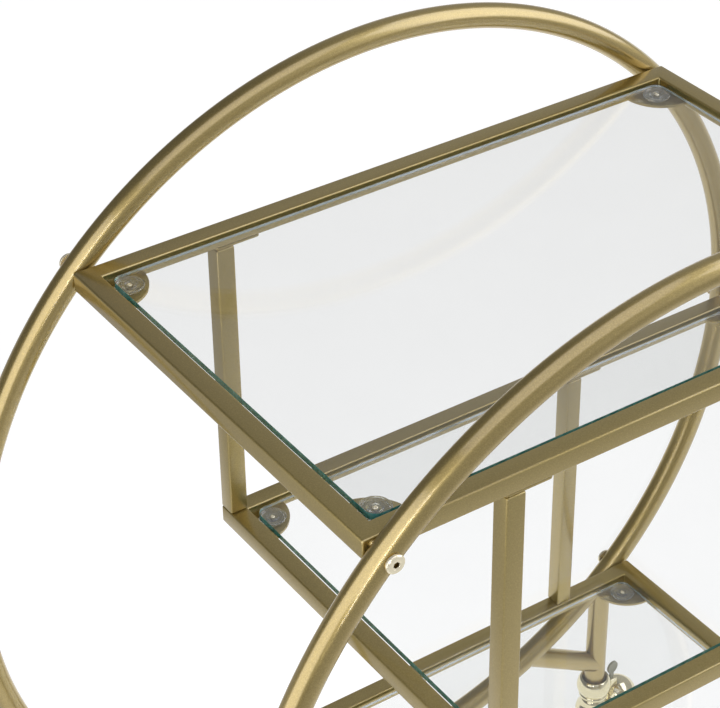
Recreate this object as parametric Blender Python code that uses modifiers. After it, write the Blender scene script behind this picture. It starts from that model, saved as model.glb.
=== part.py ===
"""A bar cart on wheels: two big round-tube rings, three glass trays and four swivel casters.

Metres, +Z up. The origin is on the floor under the middle of the two rings.
+X runs along the trays, -Y is the front ring's side and +Y the back ring's side.
"""

import math

import bmesh
import bpy
from mathutils import Matrix, Vector

# Clearances
GAP = 0.0003  # between solids that touch on the real object

# Trays: welded frames of square tube
TRAY_LENGTH = 0.535
TRAY_DEPTH = 0.360
TUBE = 0.015
TUBE_ROUNDING = 0.0013
TRAY_TOP = {"top": 0.720, "middle": 0.464, "lower": 0.2024}
MIDDLE_TRAY_RIGHT = 0.3755
TRAY_CENTRE = {"top": 0.0, "middle": MIDDLE_TRAY_RIGHT - TRAY_LENGTH / 2, "lower": 0.0}

# Corner gussets that hold the glass
GUSSET_RADIUS = 0.0325
GUSSET_THICKNESS = 0.002
GUSSET_WELD = 0.002
PIN_HOLE_RADIUS = 0.0026

# Glass shelves
GLASS_THICKNESS = 0.005
GLASS_RECESS = 0.0022
GLASS_END_GAP = 0.0045
GLASS_SIDE_GAP = 0.0035
GLASS_CORNER_RADIUS = 0.008

# Clear pads under the glass
PAD_RADIUS = 0.011
PAD_THICKNESS = 0.0033
PAD_INSET = 0.0137
PAD_PIN_RADIUS = 0.0022
PAD_PIN_DROP = 0.0032

# Rings
RING_RADIUS = 0.367
RING_TUBE_RADIUS = 0.00975
RING_CENTRE_HEIGHT = 0.455
RING_Y = 0.1912

# Bolts that hold the trays to the rings
BOLT_RADIUS = 0.003
BOLT_HOLE_RADIUS = 0.0034
BOLT_HEAD_RADIUS = 0.00675
BOLT_HEAD_HEIGHT = 0.0028
BOLT_SOCKET_RADIUS = 0.0022
BOLT_SOCKET_DEPTH = 0.0018
BOLT_REACH = 0.011
NUT_FLANGE_RADIUS = 0.0048

# Posts between the trays
UPPER_POST_X = TRAY_CENTRE["middle"] - TRAY_LENGTH / 2 + TUBE / 2
LOWER_POST_X = 0.1814
TAB_LENGTH = 0.0225
TAB_THICKNESS = 0.002

# Legs and braces under the rings
LEG_X = 0.2462
LEG_BOTTOM = 0.048
LEG_RUN_IN = 0.0012
BRACE_RING_END = (0.1623, 0.1257)
BRACE_LEG_END = (LEG_X, 0.0747)

# Casters: a socket on the leg, a round hood that swivels, a wheel on an axle
WHEEL_RADIUS = 0.0180
WHEEL_PROFILE = [(0.0, 0.0125), (0.0122, 0.0125), (0.0146, 0.0104), (0.0163, 0.0074), (0.0175, 0.0040)]
TRAIL = 0.030
HOOD_RADIUS = 0.0199
CAVITY_RADIUS = 0.0189
HOOD_OPEN_BELOW = 0.0115
AXLE_RADIUS = 0.0022
AXLE_REACH = 0.0192
PIVOT_RADIUS = 0.0035
PIVOT_BOTTOM = 0.0205
SOCKET_BOTTOM = 0.0325
SOCKET_TOP = 0.057
BELL_TOP = SOCKET_BOTTOM - GAP

# Brake levers: a flat paddle on a pin between two cheeks of the hood
CLEVIS_LOW = (0.0172, -0.0042, 0.0280)
CLEVIS_HIGH = (0.0262, 0.0042, 0.0440)
LEVER_SLOT_HALF_WIDTH = 0.0016
LEVER_SLOT_FLOOR = 0.0380
LEVER_REACH = 0.0217
LEVER_PIVOT_HEIGHT = 0.0408
LEVER_HALF_THICKNESS = 0.0012
LEVER_BARREL_RADIUS = 0.0024
LEVER_PIN_RADIUS = 0.0012
PADDLE_RADIUS = 0.0058
PADDLE_STRETCH = 1.22
PADDLE_HEIGHT = 0.0158
PADDLE_LEAN = 14

CORNERS = [("front", "left"), ("front", "right"), ("back", "left"), ("back", "right")]
BRAKED = [("front", "right"), ("back", "right")]
SIDE_Y = {"front": -1.0, "back": 1.0}
SIDE_X = {"left": -1.0, "right": 1.0}

MATERIALS = {
    "gold_tube": ((0.23, 0.175, 0.06), 0.38, 1.0),
    "gold_frame": ((0.21, 0.16, 0.055), 0.42, 1.0),
    "plated_gold": ((0.80, 0.68, 0.42), 0.12, 1.0),
    "bolt_gold": ((0.86, 0.76, 0.52), 0.22, 1.0),
    "clear_glass": ((0.80, 0.93, 0.90), 0.03, 0.0),
    "clear_pad": ((0.78, 0.80, 0.78), 0.25, 0.0),
    "grey_tyre": ((0.36, 0.37, 0.37), 0.55, 0.0),
    "steel": ((0.55, 0.55, 0.56), 0.25, 1.0),
    "lever_grey": ((0.40, 0.41, 0.36), 0.35, 0.4),
}


def clear_scene():
    for item in list(bpy.data.objects):
        bpy.data.objects.remove(item, do_unlink=True)


def new_collection(name):
    collection = bpy.data.collections.new(name)
    bpy.context.scene.collection.children.link(collection)
    return collection


clear_scene()
PARTS = new_collection("bar_cart")
CUTTERS = new_collection("cutters")


def make_material(name):
    colour, roughness, metallic = MATERIALS[name]
    material = bpy.data.materials.new(name)
    material.use_nodes = True
    shader = material.node_tree.nodes["Principled BSDF"]
    shader.inputs["Base Color"].default_value = (*colour, 1.0)
    shader.inputs["Roughness"].default_value = roughness
    shader.inputs["Metallic"].default_value = metallic
    material.diffuse_color = (*colour, 1.0)
    return material


SHADES = {name: make_material(name) for name in MATERIALS}


def as_part(obj, name, shade):
    """Names an object, gives it its material and puts it in the model's collection."""
    obj.name = name
    obj.data.name = name
    obj.data.materials.clear()
    obj.data.materials.append(SHADES[shade])
    PARTS.objects.link(obj)
    return obj


def as_cutter(obj):
    CUTTERS.objects.link(obj)
    obj.hide_render = True
    obj.display_type = "WIRE"
    return obj


def mesh_object(name, bm):
    mesh = bpy.data.meshes.new(name)
    bm.to_mesh(mesh)
    bm.free()
    return bpy.data.objects.new(name, mesh)


def box(name, low, high):
    """A box between two corners, made from a unit cube."""
    low, high = Vector(low), Vector(high)
    size = high - low
    bm = bmesh.new()
    bmesh.ops.create_cube(bm, size=1.0)
    bmesh.ops.scale(bm, vec=size, verts=bm.verts)
    obj = mesh_object(name, bm)
    obj.location = (low + high) / 2
    return obj


def rod(name, radius, start, end, segments=16):
    """A cylinder between two points."""
    start, end = Vector(start), Vector(end)
    along = end - start
    bm = bmesh.new()
    bmesh.ops.create_cone(
        bm, cap_ends=True, segments=segments, radius1=radius, radius2=radius, depth=along.length
    )
    obj = mesh_object(name, bm)
    turn = Vector((0, 0, 1)).rotation_difference(along.normalized())
    obj.matrix_world = Matrix.Translation((start + end) / 2) @ turn.to_matrix().to_4x4()
    shade_round(obj.data)
    return obj


def torus(name, radius, tube_radius, centre, around=64, section=10):
    """A ring of round tube that stands upright, its axis along Y."""
    bpy.ops.mesh.primitive_torus_add(
        major_segments=around, minor_segments=section, major_radius=radius, minor_radius=tube_radius
    )
    obj = bpy.context.object
    for collection in list(obj.users_collection):
        collection.objects.unlink(obj)
    obj.data.transform(Matrix.Rotation(math.pi / 2, 4, "X"))
    obj.location = centre
    shade_round(obj.data)
    return obj


def shade_round(mesh, angle=40.0):
    mesh.shade_smooth()
    mesh.set_sharp_from_angle(angle=math.radians(angle))


def turned(name, profile, steps, axis="Z"):
    """A solid of revolution: profile is (radius, height), from the top down its outer side."""
    bm = bmesh.new()
    points = [bm.verts.new((radius, 0.0, height)) for radius, height in profile]
    for upper, lower in zip(points, points[1:]):
        bm.edges.new((upper, lower))
    obj = mesh_object(name, bm)
    screw = obj.modifiers.new("turn", "SCREW")
    screw.steps = steps
    screw.render_steps = steps
    screw.use_merge_vertices = True
    screw.merge_threshold = 0.00001
    if axis == "Y":
        obj.rotation_euler = (math.pi / 2, 0, 0)
    return obj


def baked(obj):
    """Turns an object with curves or modifiers into a plain mesh with its place built in."""
    home = CUTTERS.objects
    if obj.name not in home:
        home.link(obj)
    bpy.context.view_layer.update()
    graph = bpy.context.evaluated_depsgraph_get()
    mesh = bpy.data.meshes.new_from_object(obj.evaluated_get(graph))
    mesh.transform(obj.matrix_world)
    bm = bmesh.new()
    bm.from_mesh(mesh)
    bmesh.ops.remove_doubles(bm, verts=bm.verts, dist=0.000005)
    bm.to_mesh(mesh)
    bm.free()
    name = obj.name
    bpy.data.objects.remove(obj, do_unlink=True)
    return bpy.data.objects.new(name, mesh)


def flat_outline(name, points, low, thickness):
    """A plate: a closed outline in X and Y, from height low upwards."""
    curve = bpy.data.curves.new(name, "CURVE")
    curve.dimensions = "2D"
    curve.fill_mode = "BOTH"
    curve.extrude = thickness / 2
    spline = curve.splines.new("POLY")
    spline.points.add(len(points) - 1)
    for point, (x, y) in zip(spline.points, points):
        point.co = (x, y, 0.0, 1.0)
    spline.use_cyclic_u = True
    obj = bpy.data.objects.new(name, curve)
    obj.location = (0, 0, low + thickness / 2)
    return baked(obj)


def arc(centre, radius, start, end, steps):
    """Points on an arc, angles in degrees."""
    points = []
    for step in range(steps + 1):
        angle = math.radians(start + (end - start) * step / steps)
        points.append((centre[0] + radius * math.cos(angle), centre[1] + radius * math.sin(angle)))
    return points


def combine(obj, other, operation):
    """Cuts, joins or keeps the overlap of obj with other, an object in the cutters' collection."""
    change = obj.modifiers.new(operation.lower(), "BOOLEAN")
    change.operation = operation
    change.solver = "EXACT"
    change.object = as_cutter(other)
    return change


def tray_box(level):
    """The lowest and highest corners of a tray's frame."""
    centre = TRAY_CENTRE[level]
    low = Vector((centre - TRAY_LENGTH / 2, -TRAY_DEPTH / 2, TRAY_TOP[level] - TUBE))
    high = Vector((centre + TRAY_LENGTH / 2, TRAY_DEPTH / 2, TRAY_TOP[level]))
    return low, high


def inner_corner(level, front_back, left_right):
    """The corner of a tray's opening, seen from above."""
    x = TRAY_CENTRE[level] + SIDE_X[left_right] * (TRAY_LENGTH / 2 - TUBE)
    y = SIDE_Y[front_back] * (TRAY_DEPTH / 2 - TUBE)
    return x, y


def glass_bottom(level):
    return TRAY_TOP[level] - GLASS_RECESS - GLASS_THICKNESS


def gusset_top(level):
    return glass_bottom(level) - PAD_THICKNESS - 2 * GAP


def pad_centre(level, front_back, left_right):
    x, y = inner_corner(level, front_back, left_right)
    return x - SIDE_X[left_right] * PAD_INSET, y - SIDE_Y[front_back] * PAD_INSET


def ring_crossing(level, left_right):
    """Where a tray's bolt crosses the ring's tube: X and height, on the tube's centre line."""
    middle = TRAY_TOP[level] - TUBE / 2
    if level == "top":
        offset = RING_RADIUS * math.sin(math.radians(45))
        return SIDE_X[left_right] * offset, RING_CENTRE_HEIGHT + offset
    if level == "lower":
        drop = RING_CENTRE_HEIGHT - middle
        return SIDE_X[left_right] * math.sqrt(RING_RADIUS**2 - drop**2), middle
    return RING_RADIUS, RING_CENTRE_HEIGHT


BOLTS = [("top", "left"), ("top", "right"), ("lower", "left"), ("lower", "right"), ("middle", "right")]


def make_gusset(level, front_back, left_right):
    """A quarter disc, welded into a corner of the tray."""
    x, y = inner_corner(level, front_back, left_right)
    inward_x, inward_y = -SIDE_X[left_right], -SIDE_Y[front_back]
    outline = [(-GUSSET_WELD, -GUSSET_WELD), (GUSSET_RADIUS, -GUSSET_WELD)]
    outline += arc((0, 0), GUSSET_RADIUS, 0, 90, 8)
    outline += [(-GUSSET_WELD, GUSSET_RADIUS)]
    points = [(x + inward_x * across, y + inward_y * along) for across, along in outline]
    low = gusset_top(level) - GUSSET_THICKNESS
    return flat_outline("gusset", points, low, GUSSET_THICKNESS)


def make_tray(level):
    """A frame of square tube with rounded edges, four gussets and its threaded inserts."""
    low, high = tray_box(level)
    tray = box("tray", low, high)
    wall = Vector((TUBE, TUBE, -TUBE))
    combine(tray, box("tray_opening", low + wall, high - wall), "DIFFERENCE")
    rounding = tray.modifiers.new("rounding", "BEVEL")
    rounding.width = TUBE_ROUNDING
    rounding.segments = 1
    rounding.limit_method = "ANGLE"
    for front_back, left_right in CORNERS:
        combine(tray, make_gusset(level, front_back, left_right), "UNION")
        pin_x, pin_y = pad_centre(level, front_back, left_right)
        under = gusset_top(level) - 2 * GUSSET_THICKNESS
        over = gusset_top(level) + GUSSET_THICKNESS
        hole = rod("pin_hole", PIN_HOLE_RADIUS, (pin_x, pin_y, under), (pin_x, pin_y, over), 10)
        combine(tray, hole, "DIFFERENCE")
    for bolt_level, left_right in BOLTS:
        if bolt_level != level:
            continue
        x, z = ring_crossing(level, left_right)
        for side in SIDE_Y.values():
            face = side * TRAY_DEPTH / 2
            flange_end = side * (RING_Y - RING_TUBE_RADIUS - GAP)
            start = (x, face - side * 0.002, z)
            flange = rod("insert_flange", NUT_FLANGE_RADIUS, start, (x, flange_end, z), 12)
            combine(tray, flange, "UNION")
            hole_end = face - side * (BOLT_REACH + 0.001)
            outside = side * (RING_Y + RING_TUBE_RADIUS)
            hole = rod("bolt_hole", BOLT_HOLE_RADIUS, (x, hole_end, z), (x, outside, z), 10)
            combine(tray, hole, "DIFFERENCE")
    as_part(tray, f"tray_frame_{level}", "gold_frame")


def make_glass(level):
    """A sheet of glass with rounded corners, just inside the tray's frame."""
    half_x = TRAY_LENGTH / 2 - TUBE - GLASS_END_GAP
    half_y = TRAY_DEPTH / 2 - TUBE - GLASS_SIDE_GAP
    centre = TRAY_CENTRE[level]
    points = []
    quarters = [(1, 1, 0), (-1, 1, 90), (-1, -1, 180), (1, -1, 270)]
    for side_x, side_y, start in quarters:
        corner_x = centre + side_x * (half_x - GLASS_CORNER_RADIUS)
        corner_y = side_y * (half_y - GLASS_CORNER_RADIUS)
        points += arc((corner_x, corner_y), GLASS_CORNER_RADIUS, start, start + 90, 6)
    glass = flat_outline("glass", points, glass_bottom(level), GLASS_THICKNESS)
    as_part(glass, f"glass_{level}", "clear_glass")


def make_pad(level, front_back, left_right):
    """A round clear pad on a gusset, with a pin down through the gusset."""
    x, y = pad_centre(level, front_back, left_right)
    top = glass_bottom(level) - GAP
    bottom = gusset_top(level) + GAP
    profile = [
        (0.0, top),
        (PAD_RADIUS - 0.0008, top),
        (PAD_RADIUS, top - 0.0006),
        (PAD_RADIUS, bottom),
        (PAD_PIN_RADIUS, bottom),
        (PAD_PIN_RADIUS, bottom - PAD_PIN_DROP),
        (0.0, bottom - PAD_PIN_DROP),
    ]
    pad = turned("pad", profile, 12)
    pad.location = (x, y, 0)
    as_part(pad, f"pad_{level}_{front_back}_{left_right}", "clear_pad")


def make_ring(front_back):
    """One of the two big rings, drilled for its bolts."""
    y = SIDE_Y[front_back] * RING_Y
    ring = torus("ring", RING_RADIUS, RING_TUBE_RADIUS, (0, y, RING_CENTRE_HEIGHT))
    for level, left_right in BOLTS:
        x, z = ring_crossing(level, left_right)
        reach = 2 * RING_TUBE_RADIUS
        hole = rod("ring_hole", BOLT_HOLE_RADIUS, (x, y - reach, z), (x, y + reach, z), 10)
        combine(ring, hole, "DIFFERENCE")
    as_part(ring, f"ring_{front_back}", "gold_tube")


def make_bolt(level, front_back, left_right):
    """A flat-headed bolt through the ring into the tray's rail, with a hex socket."""
    x, z = ring_crossing(level, left_right)
    side = SIDE_Y[front_back]
    seat = RING_Y + RING_TUBE_RADIUS + GAP
    crown = seat + BOLT_HEAD_HEIGHT
    tip = TRAY_DEPTH / 2 - BOLT_REACH
    profile = [
        (0.0, crown),
        (BOLT_HEAD_RADIUS - 0.0012, crown),
        (BOLT_HEAD_RADIUS, crown - 0.0008),
        (BOLT_HEAD_RADIUS, seat),
        (BOLT_RADIUS, seat),
        (BOLT_RADIUS, tip),
        (0.0, tip),
    ]
    bolt = turned("bolt", profile, 12)
    start, end = (0, 0, crown - BOLT_SOCKET_DEPTH), (0, 0, crown + 0.001)
    socket = rod("hex_socket", BOLT_SOCKET_RADIUS, start, end, 6)
    combine(bolt, socket, "DIFFERENCE")
    turn = Matrix.Rotation(-side * math.pi / 2, 4, "X")
    place = Matrix.Translation((x, 0, z)) @ turn
    socket.matrix_world = place @ socket.matrix_world
    bolt.matrix_world = place
    name = f"bolt_{level}_{front_back}"
    if level != "middle":
        name += f"_{left_right}"
    as_part(bolt, name, "bolt_gold")


def make_post(name, front_back, x, bottom, top, tab_side):
    """A square post with a thin tab at its top that runs under the tray's rail."""
    side = SIDE_Y[front_back]
    outer = side * TRAY_DEPTH / 2
    inner = side * (TRAY_DEPTH / 2 - TUBE)
    low_y, high_y = min(outer, inner), max(outer, inner)
    tab_under = top - GAP - TAB_THICKNESS
    post = box("post", (x - TUBE / 2, low_y, bottom + GAP), (x + TUBE / 2, high_y, top - GAP))
    rounding = post.modifiers.new("rounding", "BEVEL")
    rounding.width = TUBE_ROUNDING
    rounding.segments = 1
    rounding.limit_method = "ANGLE"
    tab_end = x + tab_side * (TUBE / 2 + TAB_LENGTH)
    tab_low = (min(x, tab_end), low_y + TUBE_ROUNDING, tab_under)
    tab_high = (max(x, tab_end), high_y - TUBE_ROUNDING, top - GAP - 0.0001)
    combine(post, box("tab", tab_low, tab_high), "UNION")
    as_part(post, name, "gold_frame")


def make_leg(front_back, left_right):
    """A round tube from the ring down into its caster's socket, coped to the ring."""
    x = SIDE_X[left_right] * LEG_X
    y = SIDE_Y[front_back] * RING_Y
    top = RING_CENTRE_HEIGHT - math.sqrt(RING_RADIUS**2 - LEG_X**2) + LEG_RUN_IN
    leg = rod("leg", RING_TUBE_RADIUS, (x, y, LEG_BOTTOM), (x, y, top), 16)
    cope = torus("cope", RING_RADIUS, RING_TUBE_RADIUS + GAP, (0, y, RING_CENTRE_HEIGHT))
    combine(leg, cope, "DIFFERENCE")
    as_part(leg, f"leg_{front_back}_{left_right}", "gold_tube")


def make_brace(front_back, left_right):
    """A round tube from the ring to the foot of the leg, coped to both."""
    side = SIDE_X[left_right]
    y = SIDE_Y[front_back] * RING_Y
    start = (side * BRACE_RING_END[0], y, BRACE_RING_END[1])
    end = (side * BRACE_LEG_END[0], y, BRACE_LEG_END[1])
    brace = rod("brace", RING_TUBE_RADIUS - 0.0001, start, end, 16)
    cope = torus("cope", RING_RADIUS, RING_TUBE_RADIUS + GAP, (0, y, RING_CENTRE_HEIGHT))
    combine(brace, cope, "DIFFERENCE")
    leg_x = side * LEG_X
    leg = rod("leg_cope", RING_TUBE_RADIUS + GAP, (leg_x, y, 0.0), (leg_x, y, 0.2), 16)
    combine(brace, leg, "DIFFERENCE")
    as_part(brace, f"brace_{front_back}_{left_right}", "gold_tube")


def make_socket(front_back, left_right):
    """The bulged socket on the foot of the leg, with the pivot pin of the caster below it."""
    bore = RING_TUBE_RADIUS + GAP
    profile = [
        (0.0, LEG_BOTTOM - GAP),
        (bore, LEG_BOTTOM - GAP),
        (bore, SOCKET_TOP - 0.0004),
        (bore + 0.0012, SOCKET_TOP),
        (0.0140, 0.0546),
        (0.0160, 0.0510),
        (0.0166, 0.0465),
        (0.0158, 0.0420),
        (0.0132, 0.0386),
        (0.0142, 0.0370),
        (0.0142, 0.0350),
        (0.0120, SOCKET_BOTTOM),
        (PIVOT_RADIUS, SOCKET_BOTTOM),
        (PIVOT_RADIUS, PIVOT_BOTTOM),
        (0.0, PIVOT_BOTTOM),
    ]
    socket = turned("socket", profile, 16)
    socket.location = (SIDE_X[left_right] * LEG_X, SIDE_Y[front_back] * RING_Y, 0)
    as_part(socket, f"caster_socket_{front_back}_{left_right}", "plated_gold")


def ball(name, radius, place):
    """A round shell's surface, turned about the axle's direction."""
    half = arc((0, 0), radius, 90, -90, 10)
    half[0], half[-1] = (0.0, radius), (0.0, -radius)
    shape = turned(name, half, 20, "Y")
    shape.location = place
    return baked(shape)


def cut_clevis(hood, place, parent):
    """Slots the raised block on the hood for the brake lever and drills it for the lever's pin."""
    low_x, high_x = sorted((place * CLEVIS_LOW[0], place * CLEVIS_HIGH[0]))
    slot_low = (low_x - 0.002, -LEVER_SLOT_HALF_WIDTH, LEVER_SLOT_FLOOR)
    slot_high = (high_x + 0.002, LEVER_SLOT_HALF_WIDTH, LEVER_SLOT_FLOOR + 0.02)
    pin_x = place * LEVER_REACH
    reach = 2 * CLEVIS_HIGH[1]
    start, end = (pin_x, -reach, LEVER_PIVOT_HEIGHT), (pin_x, reach, LEVER_PIVOT_HEIGHT)
    hole = rod("pin_bore", LEVER_PIN_RADIUS + GAP, start, end, 10)
    for cutter in (box("lever_slot", slot_low, slot_high), hole):
        combine(hood, cutter, "DIFFERENCE")
        cutter.parent = parent


def make_hood(front_back, left_right, parent):
    """The hood: a round shell over the wheel, joined to a bell that turns on the pivot pin."""
    side = SIDE_X[left_right]
    axle_x = side * TRAIL
    centre = (axle_x, 0, WHEEL_RADIUS)
    hood = ball("hood", HOOD_RADIUS, centre)
    bell_profile = [
        (0.0, BELL_TOP),
        (0.0105, BELL_TOP),
        (0.0122, 0.0295),
        (0.0135, 0.0250),
        (0.0162, 0.0205),
        (0.0170, 0.0165),
        (0.0158, 0.0130),
        (0.0, 0.0118),
    ]
    bell = baked(turned("bell", bell_profile, 16))
    cavity = ball("cavity", CAVITY_RADIUS, centre)
    reach = 0.06
    floor_cut = box("floor_cut", (-reach, -reach, -reach), (reach, reach, HOOD_OPEN_BELOW))
    bore = rod("pivot_bore", PIVOT_RADIUS + GAP, (0, 0, PIVOT_BOTTOM - 0.001), (0, 0, BELL_TOP + 0.01), 16)
    axle_end = 2 * HOOD_RADIUS
    start, end = (axle_x, -axle_end, WHEEL_RADIUS), (axle_x, axle_end, WHEEL_RADIUS)
    axle_hole = rod("axle_hole", AXLE_RADIUS + GAP, start, end, 12)
    cutters = [("UNION", bell)]
    braked = (front_back, left_right) in BRAKED
    if braked:
        cutters.append(("UNION", box("clevis", CLEVIS_LOW, CLEVIS_HIGH)))
    cutters += [("DIFFERENCE", cavity), ("DIFFERENCE", floor_cut)]
    cutters += [("DIFFERENCE", bore), ("DIFFERENCE", axle_hole)]
    for operation, cutter in cutters:
        combine(hood, cutter, operation)
        cutter.parent = parent
    if braked:
        cut_clevis(hood, side, parent)
    hood.parent = parent
    as_part(hood, f"caster_hood_{front_back}_{left_right}", "plated_gold")


def make_wheel(front_back, left_right, parent):
    """The wheel with its crowned tread, bored for the axle."""
    profile = WHEEL_PROFILE + [(WHEEL_RADIUS, 0.0)]
    profile += [(across, -along) for across, along in reversed(WHEEL_PROFILE)]
    wheel = turned("wheel", profile, 20, "Y")
    wheel.parent = parent
    reach = 2 * WHEEL_PROFILE[0][1]
    bore = rod("wheel_bore", AXLE_RADIUS + GAP, (0, -reach, 0), (0, reach, 0), 12)
    bore.parent = parent
    combine(wheel, bore, "DIFFERENCE")
    as_part(wheel, f"wheel_{front_back}_{left_right}", "grey_tyre")


def make_axle(front_back, left_right, parent):
    """The axle, from cheek to cheek of the hood."""
    axle = rod("axle", AXLE_RADIUS, (0, -AXLE_REACH, 0), (0, AXLE_REACH, 0), 12)
    axle.parent = parent
    as_part(axle, f"axle_{front_back}_{left_right}", "steel")


def make_lever(front_back, left_right, parent):
    """The brake lever: a flat oval paddle on a stalk, with a barrel and pin at its foot."""
    half = LEVER_HALF_THICKNESS
    barrel = baked(rod("barrel", LEVER_BARREL_RADIUS, (0, -half, 0), (0, half, 0), 12))
    pin_reach = CLEVIS_HIGH[1] - 0.0002
    pin = rod("lever_pin", LEVER_PIN_RADIUS, (0, -pin_reach, 0), (0, pin_reach, 0), 10)
    stalk = box("stalk", (-0.0020, -half, 0.0), (0.0020, half, PADDLE_HEIGHT - 0.004))
    paddle = rod("paddle", PADDLE_RADIUS, (0, -half, 0), (0, half, 0), 20)
    paddle = baked(paddle)
    lean = Matrix.Rotation(math.radians(PADDLE_LEAN), 4, "Y")
    stretch = Matrix.Diagonal((1.0, 1.0, PADDLE_STRETCH, 1.0))
    paddle.data.transform(Matrix.Translation((0.0006, 0, PADDLE_HEIGHT)) @ lean @ stretch)
    for shape in (pin, stalk, paddle):
        shape.parent = parent
        combine(barrel, shape, "UNION")
    barrel.parent = parent
    as_part(barrel, f"brake_lever_{front_back}_{left_right}", "lever_grey")


def empty(name, place, parent=None):
    obj = bpy.data.objects.new(name, None)
    obj.location = place
    obj.parent = parent
    CUTTERS.objects.link(obj)
    return obj


def make_caster(front_back, left_right):
    """A caster: socket fixed to the leg, and a hood, wheel and lever on their own joint axes."""
    make_socket(front_back, left_right)
    x = SIDE_X[left_right] * LEG_X
    y = SIDE_Y[front_back] * RING_Y
    where = f"{front_back}_{left_right}"
    swivel = empty(f"swivel_axis_{where}", (x, y, 0))
    make_hood(front_back, left_right, swivel)
    trail = SIDE_X[left_right] * TRAIL
    roll = empty(f"wheel_axis_{where}", (trail, 0, WHEEL_RADIUS), swivel)
    make_wheel(front_back, left_right, roll)
    make_axle(front_back, left_right, roll)
    if (front_back, left_right) in BRAKED:
        place = (SIDE_X[left_right] * LEVER_REACH, 0, LEVER_PIVOT_HEIGHT)
        press = empty(f"lever_axis_{where}", place, swivel)
        make_lever(front_back, left_right, press)


for tray_level in TRAY_TOP:
    make_tray(tray_level)
    make_glass(tray_level)
    for pad_corner in CORNERS:
        make_pad(tray_level, *pad_corner)

for ring_side in SIDE_Y:
    make_ring(ring_side)
    for bolt_level, bolt_side in BOLTS:
        make_bolt(bolt_level, ring_side, bolt_side)
    make_post(
        f"post_upper_{ring_side}", ring_side, UPPER_POST_X, TRAY_TOP["middle"], TRAY_TOP["top"] - TUBE, 1
    )
    make_post(
        f"post_lower_{ring_side}", ring_side, LOWER_POST_X, TRAY_TOP["lower"], TRAY_TOP["middle"] - TUBE, 1
    )

for foot in CORNERS:
    make_leg(*foot)
    make_brace(*foot)
    make_caster(*foot)
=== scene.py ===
"""Looks of the bar cart: finished metal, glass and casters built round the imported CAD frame."""

import math

import bmesh
import bpy
from mathutils import Matrix, Vector


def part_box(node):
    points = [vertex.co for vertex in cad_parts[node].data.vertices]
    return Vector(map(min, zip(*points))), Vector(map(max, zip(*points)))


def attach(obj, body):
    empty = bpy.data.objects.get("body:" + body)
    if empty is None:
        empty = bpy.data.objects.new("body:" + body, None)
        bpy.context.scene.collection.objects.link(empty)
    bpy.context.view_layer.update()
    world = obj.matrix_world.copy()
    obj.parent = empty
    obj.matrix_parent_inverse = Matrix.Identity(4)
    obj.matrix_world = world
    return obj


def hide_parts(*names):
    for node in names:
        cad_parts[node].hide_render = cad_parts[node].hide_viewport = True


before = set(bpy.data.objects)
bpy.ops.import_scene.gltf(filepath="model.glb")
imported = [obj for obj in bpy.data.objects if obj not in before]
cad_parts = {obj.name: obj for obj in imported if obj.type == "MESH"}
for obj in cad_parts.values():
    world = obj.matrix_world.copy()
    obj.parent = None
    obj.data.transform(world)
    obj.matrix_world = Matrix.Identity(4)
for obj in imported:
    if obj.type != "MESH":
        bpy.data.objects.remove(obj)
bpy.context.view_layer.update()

# ---------------------------------------------------------------- sizes, in metres

# Rings, legs and braces
RING_TUBE_RADIUS = 0.00975
LEG_SHORT_OF_CAD = 0.006
BRACE_HEAD_X = 0.1623
BRACE_HEAD_HEIGHT = 0.1257
BRACE_FOOT_HEIGHT = 0.0747
BRACE_THINNER_BY = 0.0002

# Trays, glass and pads
TUBE_ROUNDING = 0.0015
TRAY_HALF_DEPTH = 0.180
GUSSET_RADIUS = 0.0325
GUSSET_THICKNESS = 0.002
GUSSET_INTO_RAIL = 0.001
GLASS_SIDE_GAP = 0.0035
GLASS_CORNER_RADIUS = 0.008
GLASS_CHAMFER = 0.0006
PAD_THICKNESS = 0.0036
PAD_STEM_RADIUS = 0.0022

# Posts and bolts
TAB_THICKNESS = 0.002
TAB_INSET = 0.001
TAB_CORNER_RADIUS = 0.003
TAB_SCREW_PLACE = 0.0135
BOLT_HEAD_HEIGHT = 0.0028
BOLT_SHANK_RADIUS = 0.0029
HEX_RADIUS = 0.00235
HEX_TOP = -0.0003
HEX_FLOOR = -0.0019

# Casters
SOCKET_STEM_RADIUS = 0.0034
HOOD_WALL = 0.001
HOOD_OPEN_BELOW = 0.0115
BELL_BELOW_SOCKET_TOP = 0.0248
BORE_RADIUS = 0.0038
BORE_LOW = 0.0195
BORE_HIGH = 0.05
AXLE_RADIUS = 0.0022

# Brake clevis and lever, measured from the socket's axis or from the lever's pin
CLEVIS_NEAR = 0.0172
CLEVIS_FAR = 0.0262
CLEVIS_HALF_WIDTH = 0.0042
CLEVIS_FOOT = 0.010
LEVER_SLOT = 0.0016
LEVER_BARREL = 0.0024
LEVER_REACH = 0.0217
LEVER_HALF_THICKNESS = 0.0012
LEVER_PIN_RADIUS = 0.0012
STALK_HALF_WIDTH = 0.0021
PADDLE_RADIUS = 0.0058
PADDLE_STRETCH = 1.22
PADDLE_OFFSET = 0.0006
PADDLE_HEIGHT = 0.0158
PADDLE_LEAN = 14.0

# An edge that turns by more than this, in radians, is rounded
SHARP_ANGLE = 0.5

LEVELS = ("top", "middle", "lower")
SIDES = {"front": -1.0, "back": 1.0}
ENDS = {"left": -1.0, "right": 1.0}
CORNERS = [(side, end) for side in SIDES for end in ENDS]
BRAKED = [(side, "right") for side in SIDES]


def middle(node):
    low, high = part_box(node)
    return (low + high) / 2


def size(node):
    low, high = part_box(node)
    return high - low


# ---------------------------------------------------------------- materials


def node_material(name):
    """A material with an empty Principled shader: returns it, its node tree and the shader."""
    material = bpy.data.materials.new(name)
    material.use_nodes = True
    tree = material.node_tree
    return material, tree, tree.nodes["Principled BSDF"]


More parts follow.
